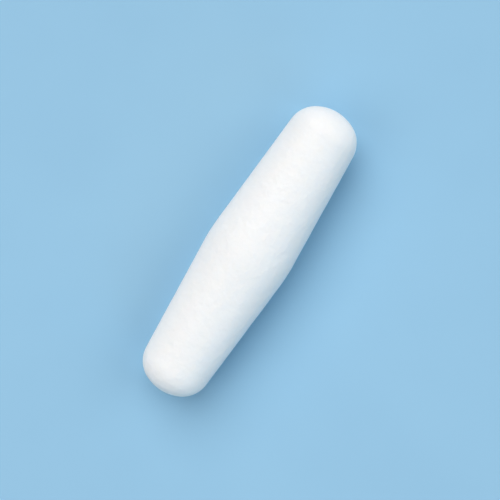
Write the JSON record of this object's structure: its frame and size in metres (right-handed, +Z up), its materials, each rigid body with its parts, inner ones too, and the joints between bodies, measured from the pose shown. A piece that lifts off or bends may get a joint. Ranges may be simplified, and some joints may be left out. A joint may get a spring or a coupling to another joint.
{
  "type": "magnetic stir bar",
  "caption": "White barrel-shaped magnetic stir bar with domed ends: a rod magnet sealed in a seamless PTFE jacket, spun by a rotating field under a vessel.",
  "frame": {"origin": "centre of the bar, on its axis at mid length", "axes": "+X along the bar's long axis and the magnet's magnetisation; +Z up when the bar lies on a vessel floor, and the axis it spins about"},
  "size_m": [0.04, 0.0108, 0.011],
  "materials": {
    "white_ptfe": "smooth, waxy, slightly translucent white PTFE with faint mottling",
    "alnico_magnet": "cast and centreless-ground AlNiCo, dull grey metal"
  },
  "bodies": {
    "root": {"ptfe_jacket": "white_ptfe", "bar_magnet": "alnico_magnet"}
  },
  "joints": []
}
